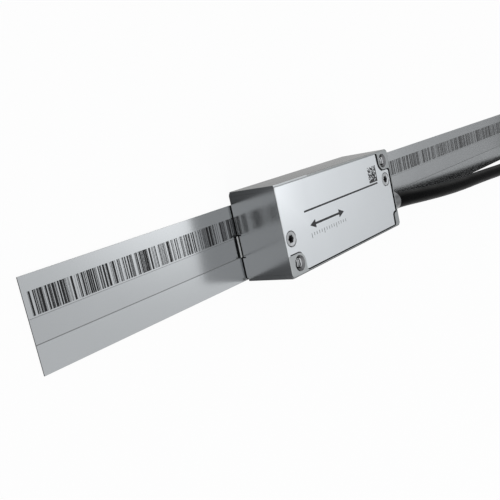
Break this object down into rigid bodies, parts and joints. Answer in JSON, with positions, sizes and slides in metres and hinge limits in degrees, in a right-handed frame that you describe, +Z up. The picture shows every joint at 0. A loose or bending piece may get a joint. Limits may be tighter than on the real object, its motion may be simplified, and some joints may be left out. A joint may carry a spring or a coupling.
{
  "type": "linear encoder",
  "caption": "Exposed linear encoder: a boxed optical scanning head with a cable rides over a coded steel scale tape and reads its position.",
  "frame": {"origin": "middle of the scale tape's bonded side, on the surface that it lies on", "axes": "+X along the measuring direction, towards the head's cable end; +Z up from the tape towards the head"},
  "size_m": [0.4255, 0.0276, 0.0202],
  "materials": {
    "scale_steel": "fine satin rolled steel, nearly a mirror",
    "bond_film": "translucent adhesive film",
    "housing_metal": "fine satin machined metal",
    "cover_metal": "pale satin anodised plate",
    "seal_rubber": "black rubber",
    "screw_steel": "bright turned steel",
    "optical_glass": "coated optical glass",
    "optics_black": "black moulded plastic",
    "retainer_black": "black anodised ring",
    "lamp_resin": "clear dark resin",
    "sensor_chip": "bare chip under clear resin",
    "board_green": "green solder mask",
    "chip_black": "black moulded chip",
    "crystal_can": "small metal can",
    "ceramic_tan": "ceramic with tinned ends",
    "header_ivory": "ivory moulded header",
    "wire_grey": "thin insulated cores",
    "sleeve_metal": "crimped bright sleeve",
    "cable_black": "black satin jacket",
    "tie_black": "woven black strap",
    "grip_black": "black moulded body",
    "insert_dark": "dark moulded insert",
    "contact_gold": "gold plated contacts",
    "nut_nickel": "nickel plated turned ring",
    "ring_red": "red rubber ring"
  },
  "bodies": {
    "scale": {"scale_tape": "scale_steel", "adhesive_film": "bond_film"},
    "head": {"head_housing": "housing_metal", "cover_plate": "cover_metal", "cover_gasket": "seal_rubber", "cover_screws": "screw_steel", "scanning_reticle": "optical_glass", "optics_carrier": "optics_black", "condenser_lens": "optical_glass", "lens_retainer": "retainer_black", "infrared_lamp": "lamp_resin", "photo_sensor": "sensor_chip", "circuit_board": "board_green", "board_screws": "screw_steel", "processor_chip": "chip_black", "line_driver_chip": "chip_black", "clock_crystal": "crystal_can", "chip_capacitors": "ceramic_tan", "wire_header": "header_ivory", "cable_wires": "wire_grey", "cable_sleeve": "sleeve_metal", "signal_cable": "cable_black", "cable_hank": "cable_black", "hank_tie": "tie_black", "cable_tail": "cable_black", "plug_grip": "grip_black", "contact_insert": "insert_dark", "contact_pins": "contact_gold"},
    "coupling": {"coupling_nut": "nut_nickel", "plug_ring": "ring_red"}
  },
  "joints": [
    {"name": "head_slide", "type": "slide", "parent": "scale", "child": "head", "axis": [1, 0, 0], "range_m": [-0.027, 0.113]},
    {"name": "coupling_spin", "type": "hinge", "parent": "head", "child": "coupling", "pos_m": [0.298, -0.004, 0.00725], "axis": [1, 0, 0], "continuous": true}
  ]
}
